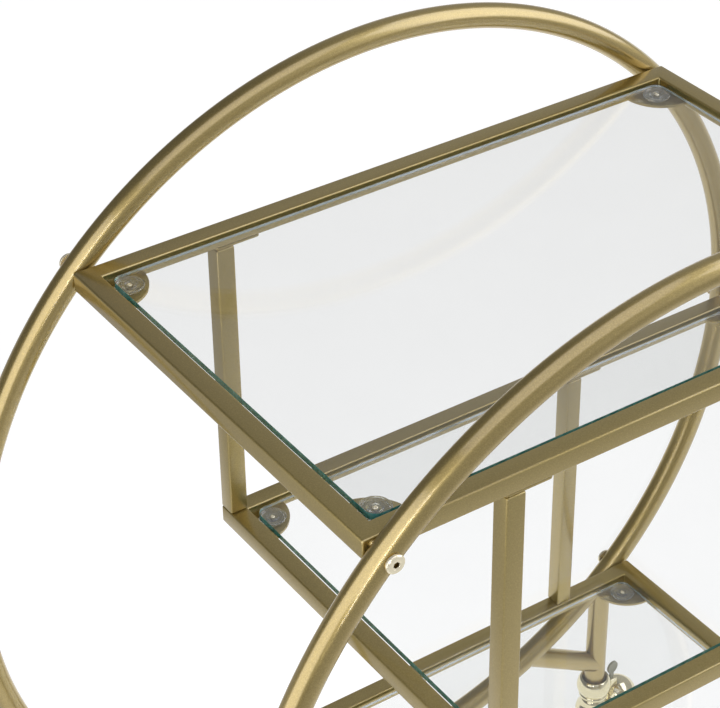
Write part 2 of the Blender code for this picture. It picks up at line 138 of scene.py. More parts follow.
def add_node(tree, kind, **values):
    node = tree.nodes.new(kind)
    for key, value in values.items():
        if hasattr(node, key):
            setattr(node, key, value)
        else:
            node.inputs[key.replace("_", " ")].default_value = value
    return node


def position(tree):
    return add_node(tree, "ShaderNodeTexCoord").outputs["Object"]


def noise(tree, where, scale, detail=2.0, roughness=0.5):
    node = add_node(tree, "ShaderNodeTexNoise")
    node.inputs["Scale"].default_value = scale
    node.inputs["Detail"].default_value = detail
    node.inputs["Roughness"].default_value = roughness
    tree.links.new(where, node.inputs["Vector"])
    return node.outputs["Fac"]


def flakes(tree, where, scale):
    """Random grey for each small cell: the glitter of a metallic lacquer."""
    node = add_node(tree, "ShaderNodeTexVoronoi")
    node.inputs["Scale"].default_value = scale
    tree.links.new(where, node.inputs["Vector"])
    split = add_node(tree, "ShaderNodeSeparateColor")
    tree.links.new(node.outputs["Color"], split.inputs["Color"])
    return split.outputs["Red"]


def ramp(tree, value, stops):
    node = add_node(tree, "ShaderNodeValToRGB")
    elements = node.color_ramp.elements
    while len(elements) < len(stops):
        elements.new(0.5)
    for element, (place, colour) in zip(elements, stops):
        element.position = place
        element.color = (*colour, 1.0)
    tree.links.new(value, node.inputs["Fac"])
    return node.outputs["Color"]


def spread(tree, value, low, high):
    """Maps a value from 0..1 to low..high."""
    node = add_node(tree, "ShaderNodeMapRange")
    node.inputs["To Min"].default_value = low
    node.inputs["To Max"].default_value = high
    tree.links.new(value, node.inputs["Value"])
    return node.outputs["Result"]


def bump(tree, shader, height, strength, distance, base=None):
    node = add_node(tree, "ShaderNodeBump")
    node.inputs["Strength"].default_value = strength
    node.inputs["Distance"].default_value = distance
    tree.links.new(height, node.inputs["Height"])
    if base is not None:
        tree.links.new(base, node.inputs["Normal"])
    tree.links.new(node.outputs["Normal"], shader.inputs["Normal"])
    return node.outputs["Normal"]


def mix(tree, factor, one, two):
    node = add_node(tree, "ShaderNodeMix", data_type="RGBA")
    for source, socket in ((factor, node.inputs[0]), (one, node.inputs[6]), (two, node.inputs[7])):
        if isinstance(source, (tuple, float)):
            socket.default_value = source
        else:
            tree.links.new(source, socket)
    return node.outputs[2]


def gold_lacquer(name, dark, light, roughness):
    """Satin antique-gold powder coat: two golds, fine metallic flake, orange peel and a painted highlight
    on sharp edges.
    """
    material, tree, shader = node_material(name)
    where = position(tree)
    grain = noise(tree, where, 900.0, 3.0, 0.6)
    colour = ramp(tree, grain, [(0.32, dark), (0.68, light)])
    flake = flakes(tree, where, 2400.0)
    sparkle = ramp(tree, flake, [(0.70, (0.0, 0.0, 0.0)), (0.95, (0.35, 0.35, 0.35))])
    bright = tuple(min(1.0, 1.5 * channel) for channel in light)
    colour = mix(tree, sparkle, colour, (*bright, 1.0))
    # Painted highlight: sharp convex edges are mixed toward a brighter gold.
    edge = add_node(tree, "ShaderNodeNewGeometry").outputs["Pointiness"]
    painted_edge_highlight = ramp(tree, edge, [(0.52, (0.0, 0.0, 0.0)), (0.60, (0.35, 0.35, 0.35))])
    colour = mix(tree, painted_edge_highlight, colour, (*bright, 1.0))
    tree.links.new(colour, shader.inputs["Base Color"])
    shader.inputs["Metallic"].default_value = 0.92
    cloud = noise(tree, where, 35.0, 2.0)
    rough = spread(tree, cloud, roughness - 0.03, roughness + 0.04)
    tree.links.new(rough, shader.inputs["Roughness"])
    shader.inputs["Coat Weight"].default_value = 1.0
    shader.inputs["Coat IOR"].default_value = 1.6
    shader.inputs["Coat Roughness"].default_value = 0.12
    shader.inputs["Specular Tint"].default_value = (0.75, 0.66, 0.42, 1.0)
    peel = bump(tree, shader, noise(tree, where, 700.0, 2.0), 0.25, 0.00004)
    bump(tree, shader, flake, 0.2, 0.00002, peel)
    return material


def plated(name, colour, roughness, metallic=1.0):
    """Bright plating with faint polishing marks."""
    material, tree, shader = node_material(name)
    where = position(tree)
    cloud = noise(tree, where, 90.0, 3.0)
    darker = tuple(0.93 * channel for channel in colour)
    tree.links.new(ramp(tree, cloud, [(0.3, darker), (0.7, colour)]), shader.inputs["Base Color"])
    shader.inputs["Metallic"].default_value = metallic
    tree.links.new(spread(tree, cloud, 0.7 * roughness, 1.3 * roughness), shader.inputs["Roughness"])
    bump(tree, shader, noise(tree, where, 700.0, 2.0), 0.12, 0.00004)
    return material


def clear_glass(name, clearness):
    """The faces of the shelves: clear, with the faintest ripple and handling haze."""
    material, tree, shader = node_material(name)
    where = position(tree)
    haze = noise(tree, where, 18.0, 4.0)
    tint = Vector((0.992, 1.0, 0.995)) * clearness
    colour = ramp(tree, haze, [(0.3, tuple(0.988 * tint)), (0.7, tuple(tint))])
    tree.links.new(colour, shader.inputs["Base Color"])
    shader.inputs["Roughness"].default_value = 0.0
    shader.inputs["Transmission Weight"].default_value = 1.0
    shader.inputs["IOR"].default_value = 1.5
    bump(tree, shader, noise(tree, where, 9.0, 1.0), 0.01, 0.0002)
    return material


def glass_edge(name):
    """Polished glass edges: teal, broken into darker and lighter dashes by inner reflections."""
    material, tree, shader = node_material(name)
    where = position(tree)
    dashes = noise(tree, where, 130.0, 3.0, 0.7)
    teals = [(0.35, (0.05, 0.30, 0.275)), (0.55, (0.11, 0.46, 0.42)), (0.70, (0.30, 0.66, 0.61))]
    colour = ramp(tree, dashes, teals)
    tree.links.new(colour, shader.inputs["Base Color"])
    shader.inputs["Transmission Weight"].default_value = 0.45
    shader.inputs["IOR"].default_value = 1.5
    tree.links.new(spread(tree, dashes, 0.06, 0.2), shader.inputs["Roughness"])
    bump(tree, shader, dashes, 0.1, 0.0002)
    return material


def painted_shade_edge(name):
    """Edges facing right and back, seen from inside the sheet: a dark grey-green copy of the edge finish,
    painted shade, half mirror and half tint.
    """
    material, tree, shader = node_material(name)
    cloud = noise(tree, position(tree), 60.0, 2.0)
    # Painted shade: darker grey-green than the teal of the edges facing left and front.
    colour = ramp(tree, cloud, [(0.3, (0.13, 0.19, 0.18)), (0.7, (0.22, 0.30, 0.29))])
    tree.links.new(colour, shader.inputs["Base Color"])
    shader.inputs["Roughness"].default_value = 0.08
    shader.inputs["Transmission Weight"].default_value = 0.35
    shader.inputs["IOR"].default_value = 1.5
    return material


def soft_clear(name):
    """Clear soft plastic of the pads, slightly smoky."""
    material, tree, shader = node_material(name)
    where = position(tree)
    cloud = noise(tree, where, 260.0, 3.0)
    colour = ramp(tree, cloud, [(0.3, (0.84, 0.86, 0.77)), (0.7, (0.93, 0.94, 0.87))])
    tree.links.new(colour, shader.inputs["Base Color"])
    shader.inputs["Transmission Weight"].default_value = 0.95
    shader.inputs["IOR"].default_value = 1.42
    tree.links.new(spread(tree, cloud, 0.05, 0.14), shader.inputs["Roughness"])
    bump(tree, shader, cloud, 0.15, 0.0002)
    return material


def moulded(name, dark, light, roughness, scale=900.0, height=0.0001):
    """Matt moulded plastic or rubber with a fine grain."""
    material, tree, shader = node_material(name)
    where = position(tree)
    cloud = noise(tree, where, 120.0, 4.0)
    tree.links.new(ramp(tree, cloud, [(0.3, dark), (0.7, light)]), shader.inputs["Base Color"])
    tree.links.new(spread(tree, cloud, roughness - 0.05, roughness + 0.08), shader.inputs["Roughness"])
    bump(tree, shader, noise(tree, where, scale, 2.0), 0.3, height)
    return material


MATERIALS = {
    "gold_tube": gold_lacquer("gold_tube_lacquer", (0.355, 0.265, 0.086), (0.420, 0.318, 0.110), 0.30),
    "gold_frame": gold_lacquer("gold_frame_lacquer", (0.340, 0.259, 0.083), (0.400, 0.308, 0.104), 0.35),
    "plated_gold": plated("pale_gold_plating", (0.86, 0.78, 0.52), 0.09),
    "bolt_gold": plated("bolt_plating", (1.0, 0.91, 0.66), 0.26, 0.75),
    "clear_glass": clear_glass("shelf_glass", 0.955),
    # Painted shade: the top shelf's glass is a darker copy of the same shelf glass.
    "painted_shade_top_glass": clear_glass("top_shelf_glass_painted_shade", 0.885),
    "glass_edge": glass_edge("shelf_glass_edge"),
    "painted_shade_edge": painted_shade_edge("shelf_far_edge"),
    "clear_pad": soft_clear("pad_plastic"),
    "grey_tyre": moulded("tyre_rubber", (0.20, 0.21, 0.21), (0.29, 0.30, 0.30), 0.55),
    "steel": plated("turned_steel", (0.60, 0.60, 0.61), 0.22),
    "lever_grey": moulded(
        "lever_lacquer", (0.23, 0.225, 0.155), (0.33, 0.325, 0.235), 0.30, scale=500.0, height=0.00004
    ),
    "socket_dark": plated("socket_shadow", (0.20, 0.14, 0.035), 0.45),
}

# ---------------------------------------------------------------- mesh helpers


def mesh_piece(name, bm, slot, body="frame", smooth_angle=35.0, materials=None):
    """Turns a bmesh into a piece that rides on a body, with its material and slot."""
    bmesh.ops.recalc_face_normals(bm, faces=bm.faces)
    mesh = bpy.data.meshes.new(name)
    bm.to_mesh(mesh)
    bm.free()
    for key in materials or [slot]:
        mesh.materials.append(MATERIALS[key])
    mesh.shade_smooth()
    mesh.set_sharp_from_angle(angle=math.radians(smooth_angle))
    obj = bpy.data.objects.new(name, mesh)
    bpy.context.scene.collection.objects.link(obj)
    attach(obj, body)
    return obj


def lathe(bm, profile, steps=64, place=Matrix.Identity(4)):
    """Adds a closed turned shape: profile is (radius, height) from one end of the axis to the other."""
    rings = []
    for radius, height in profile:
        if radius < 1e-7:
            rings.append([bm.verts.new(place @ Vector((0, 0, height)))])
            continue
        ring = []
        for step in range(steps):
            angle = 2 * math.pi * step / steps
            point = Vector((radius * math.cos(angle), radius * math.sin(angle), height))
            ring.append(bm.verts.new(place @ point))
        rings.append(ring)
    for one, two in zip(rings, rings[1:]):
        for step in range(steps):
            following = (step + 1) % steps
            if len(one) == 1:
                bm.faces.new((one[0], two[step], two[following]))
            elif len(two) == 1:
                bm.faces.new((one[step], two[0], one[following]))
            else:
                bm.faces.new((one[step], two[step], two[following], one[following]))


def rounded(points, radius, steps=4):
    """A profile with each inner corner cut back and joined by a smooth curve."""
    result = [points[0]]
    for before, corner, after in zip(points, points[1:], points[2:]):
        before, corner, after = Vector(before), Vector(corner), Vector(after)
        reach = min(radius, 0.45 * (before - corner).length, 0.45 * (after - corner).length)
        start = corner + (before - corner).normalized() * reach
        end = corner + (after - corner).normalized() * reach
        for step in range(steps + 1):
            part = step / steps
            point = start * (1 - part) ** 2 + corner * 2 * part * (1 - part) + end * part**2
            result.append(tuple(point))
    result.append(points[-1])
    return result


def arc(centre, radius, start, end, steps):
    """Points on an arc, angles in degrees."""
    points = []
    for step in range(steps + 1):
        angle = math.radians(start + (end - start) * step / steps)
        points.append((centre[0] + radius * math.cos(angle), centre[1] + radius * math.sin(angle)))
    return points


def box_mesh(bm, low, high):
    low, high = Vector(low), Vector(high)
    made = bmesh.ops.create_cube(bm, size=1.0)["verts"]
    bmesh.ops.scale(bm, vec=high - low, verts=made)
    bmesh.ops.translate(bm, vec=(low + high) / 2, verts=made)
    return made


def soften(bm, width, segments=4, edges=None):
    """Rounds the given edges, or every sharp edge."""
    if edges is None:
        edges = [
            edge for edge in bm.edges
            if len(edge.link_faces) == 2 and edge.calc_face_angle() > SHARP_ANGLE
        ]
    bmesh.ops.bevel(
        bm, geom=edges, offset=width, offset_type="OFFSET", segments=segments, profile=0.5,
        affect="EDGES", clamp_overlap=True,
    )


def plate(bm, outline, low, high, chamfer=0.0, segments=3):
    """A plate between two heights with its rims rounded."""
    bottom = [bm.verts.new((x, y, low)) for x, y in outline]
    top = [bm.verts.new((x, y, high)) for x, y in outline]
    under = bm.faces.new(list(reversed(bottom)))
    over = bm.faces.new(top)
    count = len(outline)
    for step in range(count):
        following = (step + 1) % count
        bm.faces.new((bottom[step], bottom[following], top[following], top[step]))
    if chamfer:
        rims = list(under.edges) + list(over.edges)
        soften(bm, chamfer, segments, rims)


def aimed(point, direction):
    """A matrix that takes local Z to a direction, at a point."""
    turn = Vector((0, 0, 1)).rotation_difference(Vector(direction).normalized())
    return Matrix.Translation(Vector(point)) @ turn.to_matrix().to_4x4()


# ---------------------------------------------------------------- rings, legs and braces


def make_ring(side):
    """A ring of round tube, swept finely."""
    node = f"ring_{side}"
    centre = middle(node)
    radius = size(node).z / 2 - RING_TUBE_RADIUS
    around, section = 256, 40
    bm = bmesh.new()
    loops = []
    for step in range(around):
        turn = 2 * math.pi * step / around
        outward = Vector((math.cos(turn), 0, math.sin(turn)))
        loop = []
        for part in range(section):
            angle = 2 * math.pi * part / section
            reach = radius + RING_TUBE_RADIUS * math.cos(angle)
            across = Vector((0, RING_TUBE_RADIUS * math.sin(angle), 0))
            loop.append(bm.verts.new(centre + outward * reach + across))
        loops.append(loop)
    for step in range(around):
        one, two = loops[step], loops[(step + 1) % around]
        for part in range(section):
            following = (part + 1) % section
            bm.faces.new((one[part], two[part], two[following], one[following]))
    ring = mesh_piece(f"round_{node}", bm, "gold_tube", smooth_angle=60)
    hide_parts(node)


def tube_piece(name, start, end, radius, rims=0.0008):
    """A straight round tube with softened ends."""
    length = (end - start).length
    profile = [
        (0.0, 0.0), (radius - rims, 0.0), (radius, rims), (radius, length - rims),
        (radius - rims, length), (0.0, length),
    ]
    bm = bmesh.new()
    lathe(bm, profile, 48, aimed(start, end - start))
    return mesh_piece(name, bm, "gold_tube")


def make_leg(side, end):
    """A leg, whose head ends inside the ring, so that the joint is closed."""
    node = f"leg_{side}_{end}"
    low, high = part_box(node)
    centre = middle(node)
    foot = Vector((centre.x, centre.y, low.z))
    head = Vector((centre.x, centre.y, high.z - LEG_SHORT_OF_CAD))
    leg = tube_piece(f"round_{node}", foot, head, RING_TUBE_RADIUS)
    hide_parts(node)


def make_brace(side, end):
    """A slanted brace from the ring to the leg's foot."""
    node = f"brace_{side}_{end}"
    leg = middle(f"leg_{side}_{end}")
    foot = Vector((leg.x, leg.y, BRACE_FOOT_HEIGHT))
    head = Vector((ENDS[end] * BRACE_HEAD_X, leg.y, BRACE_HEAD_HEIGHT))
    brace = tube_piece(f"round_{node}", foot, head, RING_TUBE_RADIUS - BRACE_THINNER_BY)
    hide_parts(node)


for side_name in SIDES:
    make_ring(side_name)
for corner in CORNERS:
    make_leg(*corner)
    make_brace(*corner)

# ---------------------------------------------------------------- trays


def tray_corner(level, side, end):
    """The inner corner of a tray's opening, seen from above."""
    low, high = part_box(f"tray_frame_{level}")
    tube = high.z - low.z
    glass = middle(f"glass_{level}")
    x = (high.x - tube) if end == "right" else (low.x + tube)
    half_y = size(f"glass_{level}").y / 2 + GLASS_SIDE_GAP
    return Vector((x, SIDES[side] * half_y, glass.z))


def make_tray_frame(level):
    """Four mitred rails of square tube with rounded edges."""
    node = f"tray_frame_{level}"
    low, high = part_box(node)
    tube = high.z - low.z
    outer = [
        (low.x, -TRAY_HALF_DEPTH), (high.x, -TRAY_HALF_DEPTH),
        (high.x, TRAY_HALF_DEPTH), (low.x, TRAY_HALF_DEPTH),
    ]
    toward = [(1, 1), (-1, 1), (-1, -1), (1, -1)]
    inner = [(x + tube * dx, y + tube * dy) for (x, y), (dx, dy) in zip(outer, toward)]
    bm = bmesh.new()
    rows = {}
    for key, outline, height in (
        ("outer_low", outer, low.z), ("outer_high", outer, high.z),
        ("inner_low", inner, low.z), ("inner_high", inner, high.z),
    ):
        rows[key] = [bm.verts.new((x, y, height)) for x, y in outline]
    for step in range(4):
        following = (step + 1) % 4
        for one, two in (
            ("outer_low", "outer_high"), ("outer_high", "inner_high"),
            ("inner_high", "inner_low"), ("inner_low", "outer_low"),
        ):
            first, second = rows[one], rows[two]
            bm.faces.new((first[step], first[following], second[following], second[step]))
    bmesh.ops.recalc_face_normals(bm, faces=bm.faces)
    soften(bm, TUBE_ROUNDING, 5)
    piece = mesh_piece(f"welded_{node}", bm, "gold_frame", smooth_angle=50)
    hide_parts(node)


def make_gusset(level, side, end):
    """A quarter-disc plate welded into the corner, its straight sides let into the rails."""
    corner = tray_corner(level, side, end)
    inward = Vector((-ENDS[end], -SIDES[side]))
    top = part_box(f"pad_{level}_{side}_{end}")[1].z - PAD_THICKNESS
    into = -GUSSET_INTO_RAIL
    outline = [(into, into), (GUSSET_RADIUS, into)]
    outline += arc((0, 0), GUSSET_RADIUS, 0, 90, 24) + [(into, GUSSET_RADIUS)]
    points = [(corner.x + inward.x * x, corner.y + inward.y * y) for x, y in outline]
    if inward.x * inward.y < 0:
        points.reverse()
    bm = bmesh.new()
    plate(bm, points, top - GUSSET_THICKNESS, top, 0.0005, 2)
    mesh_piece(f"gusset_{level}_{side}_{end}", bm, "gold_frame")


def make_pad(level, side, end):
    """A round clear pad with a raised rim, a shallow dish and an inner collar, and its bright pin."""
    node = f"pad_{level}_{side}_{end}"
    low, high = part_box(node)
    centre = middle(node)
    radius = size(node).x / 2
    base = high.z - PAD_THICKNESS + 0.0004
    top = high.z
    profile = [
        (0.0, low.z), (PAD_STEM_RADIUS, low.z), (PAD_STEM_RADIUS, base), (radius - 0.0018, base),
        (radius - 0.0016, base + 0.0012), (radius, base + 0.0020), (radius, top - 0.0005),
        (radius - 0.0004, top), (radius - 0.0013, top), (radius - 0.0018, top - 0.0006),
        (0.0056, top - 0.0007), (0.0050, top), (0.0036, top), (0.0030, top - 0.0011), (0.0, top - 0.0011),
    ]
    bm = bmesh.new()
    lathe(bm, rounded(profile, 0.0003, 2), 48, Matrix.Translation((centre.x, centre.y, 0)))
    pad = mesh_piece(f"clear_{node}", bm, "clear_pad")
    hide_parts(node)
    pin = [
        (0.0, top - 0.0011), (0.0019, top - 0.0011), (0.0019, top - 0.0006), (0.0014, top - 0.0002),
        (0.0008, top - 0.0002), (0.0006, top - 0.0006), (0.0, top - 0.0006),
    ]
    bm = bmesh.new()
    lathe(bm, pin, 24, Matrix.Translation((centre.x, centre.y, 0)))
    mesh_piece(f"pin_{level}_{side}_{end}", bm, "bolt_gold")


def make_glass(level):
    """A sheet with rounded corners, whose polished edges have their own green finishes: teal on the edges
    facing left and front, and a darker copy as painted shade on the others.
    """
    node = f"glass_{level}"
    low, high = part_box(node)
    half = size(node) / 2
    centre = middle(node)
    outline = []
    for side_x, side_y, start in ((1, 1, 0), (-1, 1, 90), (-1, -1, 180), (1, -1, 270)):
        x = centre.x + side_x * (half.x - GLASS_CORNER_RADIUS)
        y = centre.y + side_y * (half.y - GLASS_CORNER_RADIUS)
        outline += arc((x, y), GLASS_CORNER_RADIUS, start, start + 90, 12)
    bm = bmesh.new()
    plate(bm, outline, low.z, high.z, GLASS_CHAMFER, 1)
    bmesh.ops.recalc_face_normals(bm, faces=bm.faces)
    # Top and bottom take the shelf glass; edges facing left and front take the teal edge finish; the rest
    # take the darker copy, which is painted shade.
    for face in bm.faces:
        if abs(face.normal.z) > 0.99:
            face.material_index = 0
        elif face.normal.x < -0.3 or face.normal.y < -0.3:
            face.material_index = 1
        else:
            face.material_index = 2
    finishes = ["painted_shade_top_glass" if level == "top" else "clear_glass", "glass_edge", "painted_shade_edge"]
    glass = mesh_piece(f"sheet_{node}", bm, "clear_glass", smooth_angle=25, materials=finishes)
    glass.visible_shadow = False
    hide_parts(node)


def make_post(level, side):
    """A square post with rounded edges, its thin tab and the screw under the tab."""
    node = f"post_{level}_{side}"
    low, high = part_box(node)
    under_tab = high.z - TAB_THICKNESS
    post_high = Vector((low.x + size(node).y, high.y, under_tab))
    bm = bmesh.new()
    box_mesh(bm, low, post_high)
    soften(bm, TUBE_ROUNDING, 4)
    post = mesh_piece(f"square_{node}", bm, "gold_frame", smooth_angle=50)
    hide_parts(node)
    bm = bmesh.new()
    box_mesh(bm, (low.x, low.y + TAB_INSET, under_tab), (high.x, high.y - TAB_INSET, high.z))
    upright = [edge for edge in bm.edges if abs(edge.verts[0].co.z - edge.verts[1].co.z) > 0.001]
    soften(bm, TAB_CORNER_RADIUS, 4, upright)
    soften(bm, 0.0003, 2)
    mesh_piece(f"tab_{level}_{side}", bm, "gold_frame")
    place = aimed((post_high.x + TAB_SCREW_PLACE, middle(node).y, under_tab), (0, 0, -1))
    head = [
        (0.0, -0.0005), (0.0042, -0.0005), (0.0044, 0.0006), (0.0036, 0.0019), (0.0016, 0.0024),
        (0.0014, 0.0014), (0.0, 0.0014),
    ]
    bm = bmesh.new()
    lathe(bm, rounded(head, 0.0005, 3), 32, place)
    mesh_piece(f"tab_screw_{level}_{side}", bm, "bolt_gold")


for level_name in LEVELS:
    make_tray_frame(level_name)
    make_glass(level_name)
    for corner in CORNERS:
        make_gusset(level_name, *corner)
        make_pad(level_name, *corner)
for side_name in SIDES:
    make_post("upper", side_name)
    make_post("lower", side_name)

# ---------------------------------------------------------------- bolts


def make_bolt(node):
    """A flat-headed bolt with a chamfered rim and a hex socket."""
    low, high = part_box(node)
    centre = middle(node)
    outward = -1.0 if centre.y < 0 else 1.0
    crown = low.y if outward < 0 else high.y
    radius = size(node).x / 2
    place = aimed((centre.x, crown, centre.z), (0, outward, 0))
    length = size(node).y
    profile = [
        (0.0, -length), (BOLT_SHANK_RADIUS, -length), (BOLT_SHANK_RADIUS, -BOLT_HEAD_HEIGHT),
        (radius, -BOLT_HEAD_HEIGHT), (radius, -0.0010), (radius - 0.0010, 0.0), (0.0032, 0.0),
        (0.0030, -0.0002),
    ]
    bm = bmesh.new()
    lathe(bm, rounded(profile, 0.0003, 3), 48, place)
    mouth = [edge for edge in bm.edges if edge.is_boundary]
    hexagon_top, hexagon_floor = [], []
    for step in range(6):
        angle = math.radians(60 * step + 15)
        x, y = HEX_RADIUS * math.cos(angle), HEX_RADIUS * math.sin(angle)
        hexagon_top.append(bm.verts.new(place @ Vector((x, y, HEX_TOP))))
        hexagon_floor.append(bm.verts.new(place @ Vector((x, y, HEX_FLOOR))))
    rim = [bm.edges.new((hexagon_top[step], hexagon_top[(step + 1) % 6])) for step in range(6)]
    bmesh.ops.bridge_loops(bm, edges=mouth + rim)
    for step in range(6):
        following = (step + 1) % 6
        wall = (
            hexagon_top[step], hexagon_top[following], hexagon_floor[following], hexagon_floor[step]
        )
        bm.faces.new(wall).material_index = 1
    bm.faces.new(hexagon_floor).material_index = 1
    finishes = ["bolt_gold", "socket_dark"]
    bolt = mesh_piece(f"finished_{node}", bm, "bolt_gold", smooth_angle=25, materials=finishes)
    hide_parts(node)


for node_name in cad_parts:
    if node_name.startswith("bolt_"):
        make_bolt(node_name)

# ---------------------------------------------------------------- casters


def make_socket(side, end):
    """The bulged, brightly plated socket round the leg's foot."""
    node = f"caster_socket_{side}_{end}"
    low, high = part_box(node)
    centre = middle(node)
    cup_floor = middle(f"leg_{side}_{end}").z - size(f"leg_{side}_{end}").z / 2 - 0.0005
    top = high.z
    profile = [
        (0.0, cup_floor), (0.00995, cup_floor), (0.0101, top - 0.0045), (0.0118, top - 0.0008),
        (0.0126, top), (0.0140, top - 0.0012), (0.0153, top - 0.0040), (0.0163, top - 0.0075),
        (0.0166, top - 0.0105), (0.0162, top - 0.0140), (0.0150, top - 0.0168), (0.0134, top - 0.0184),
        (0.0130, top - 0.0190), (0.0139, top - 0.0199), (0.0143, top - 0.0212), (0.0140, top - 0.0222),
        (0.0122, top - 0.0236), (0.0115, top - 0.0243), (SOCKET_STEM_RADIUS, top - 0.0244),
        (SOCKET_STEM_RADIUS, low.z), (0.0, low.z),
    ]
    bm = bmesh.new()
    lathe(bm, rounded(profile, 0.0012, 3), 64, Matrix.Translation((centre.x, centre.y, 0)))
    socket = mesh_piece(f"plated_{node}", bm, "plated_gold", smooth_angle=40)
    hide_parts(node)


def solid(name, bm):
    """A hidden tool object for a Boolean."""
    bmesh.ops.recalc_face_normals(bm, faces=bm.faces)
    mesh = bpy.data.meshes.new(name)
    bm.to_mesh(mesh)
    bm.free()
    obj = bpy.data.objects.new(name, mesh)
    bpy.context.scene.collection.objects.link(obj)
    return obj


def carve(obj, tools):
    """Applies Booleans to an object and removes the tools."""
    for operation, tool in tools:
        change = obj.modifiers.new("carve", "BOOLEAN")
        change.operation = operation
        change.solver = "EXACT"
        change.object = tool
    bpy.context.view_layer.update()
    graph = bpy.context.evaluated_depsgraph_get()
    mesh = bpy.data.meshes.new_from_object(obj.evaluated_get(graph))
    for _, tool in tools:
        bpy.data.objects.remove(tool, do_unlink=True)
    bpy.data.objects.remove(obj, do_unlink=True)
    bm = bmesh.new()
    bm.from_mesh(mesh)
    bpy.data.meshes.remove(mesh)
    return bm


def turned_tool(name, profile, steps, place):
    bm = bmesh.new()
    lathe(bm, profile, steps, place)
    return solid(name, bm)


def box_tool(name, low, high, rounding=0.0):
    bm = bmesh.new()
    box_mesh(bm, low, high)
    if rounding:
        soften(bm, rounding, 3)
    return solid(name, bm)


def half_circle(radius, steps=32):
    half = arc((0, 0), radius, 90, -90, steps)
    half[0], half[-1] = (0.0, radius), (0.0, -radius)
    return half


def clevis_tools(side, end, top):
    """The two cheeks that hold the brake lever on the hood, and the slot between them."""
    socket = middle(f"caster_socket_{side}_{end}")
    axle = middle(f"axle_{side}_{end}")
    lever = middle(f"brake_lever_{side}_{end}")
    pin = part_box(f"brake_lever_{side}_{end}")[0].z + LEVER_BARREL
    left, right = sorted(socket.x + ENDS[end] * reach for reach in (CLEVIS_NEAR, CLEVIS_FAR))
    cheeks = box_tool(
        "cheeks", (left, lever.y - CLEVIS_HALF_WIDTH, axle.z + CLEVIS_FOOT),
        (right, lever.y + CLEVIS_HALF_WIDTH, top), 0.0011,
    )
    slot = box_tool(
        "slot", (left - 0.002, lever.y - LEVER_SLOT, pin - LEVER_BARREL - 0.0004),
        (right + 0.002, lever.y + LEVER_SLOT, pin + 0.02),
    )
    return cheeks, slot


def make_hood(side, end):
    """The plated hood: a round shell over the wheel, joined to the bell that turns under the socket."""
    node = f"caster_hood_{side}_{end}"
    body = f"hood_{side}_{end}"
    socket = middle(f"caster_socket_{side}_{end}")
    axle = middle(f"axle_{side}_{end}")
    radius = size(node).y / 2
    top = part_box(f"caster_socket_{side}_{end}")[1].z - BELL_BELOW_SOCKET_TOP
    along_y = aimed(axle, (0, 1, 0))
    at_socket = Matrix.Translation((socket.x, socket.y, 0))
    shell = turned_tool("shell", half_circle(radius), 80, along_y)
    bell_profile = [
        (0.0, top), (0.0100, top), (0.0108, top - 0.0008), (0.0121, top - 0.0027),
        (0.0134, top - 0.0072), (0.0158, top - 0.0112), (0.0169, top - 0.0156),
        (0.0160, top - 0.0189), (0.0140, top - 0.0202), (0.0, top - 0.0204),
    ]
    bell = turned_tool("bell", rounded(bell_profile, 0.0012, 3), 56, at_socket)
    cavity = turned_tool("cavity", half_circle(radius - HOOD_WALL), 80, along_y)
    floor_cut = box_tool(
        "floor_cut", (axle.x - 0.1, axle.y - 0.1, -0.1), (axle.x + 0.1, axle.y + 0.1, HOOD_OPEN_BELOW)
    )
    bore_profile = [(0.0, BORE_LOW), (BORE_RADIUS, BORE_LOW), (BORE_RADIUS, BORE_HIGH), (0.0, BORE_HIGH)]
    bore = turned_tool("bore", bore_profile, 32, at_socket)
    tools = [("UNION", bell), ("DIFFERENCE", cavity), ("DIFFERENCE", floor_cut), ("DIFFERENCE", bore)]
    if (side, end) in BRAKED:
        cheeks, slot = clevis_tools(side, end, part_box(node)[1].z)
        tools.insert(1, ("UNION", cheeks))
        tools.append(("DIFFERENCE", slot))
    hood = mesh_piece(f"plated_{node}", carve(shell, tools), "plated_gold", body, smooth_angle=38)
    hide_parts(node)
    cap = [(0.0, -0.0010), (0.0036, -0.0010), (0.0036, -0.0003), (0.0030, 0.0001), (0.0, 0.0002)]
    for direction, mark in ((-1, "near"), (1, "far")):
        face = axle + Vector((0, direction * (radius - 0.0004), 0))
        bm = bmesh.new()
        lathe(bm, rounded(cap, 0.0003, 2), 32, aimed(face, (0, direction, 0)))
        mesh_piece(f"axle_cap_{mark}_{side}_{end}", bm, "steel", body)


def make_wheel(side, end):
    """A grey wheel: crowned tread with fine grooves, a dished web and a hub."""
    node = f"wheel_{side}_{end}"
    centre = middle(node)
    radius = size(node).z / 2
    half = size(node).y / 2
    side_profile = [
        (AXLE_RADIUS + 0.0002, half - 0.0006), (0.0048, half - 0.0006), (0.0055, half - 0.0034),
        (0.0098, half - 0.0034), (0.0106, half - 0.0006), (0.0118, half), (0.0130, half - 0.0006),
        (0.0146, half - 0.0023), (0.0163, half - 0.0051), (0.0175, half - 0.0087),
    ]
    tread = []
    for groove in (0.0024, -0.0024):
        tread += [
            (radius, groove + 0.0005), (radius - 0.0006, groove + 0.0002),
            (radius - 0.0006, groove - 0.0002), (radius, groove - 0.0005),
        ]
    other = [(reach, -height) for reach, height in reversed(side_profile)]
    profile = side_profile + tread + other
    bm = bmesh.new()
    lathe(bm, profile + [profile[0]], 72, aimed(centre, (0, 1, 0)))
    bmesh.ops.remove_doubles(bm, verts=bm.verts, dist=0.000001)
    wheel = mesh_piece(f"moulded_{node}", bm, "grey_tyre", f"wheel_{side}_{end}", smooth_angle=40)
    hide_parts(node)


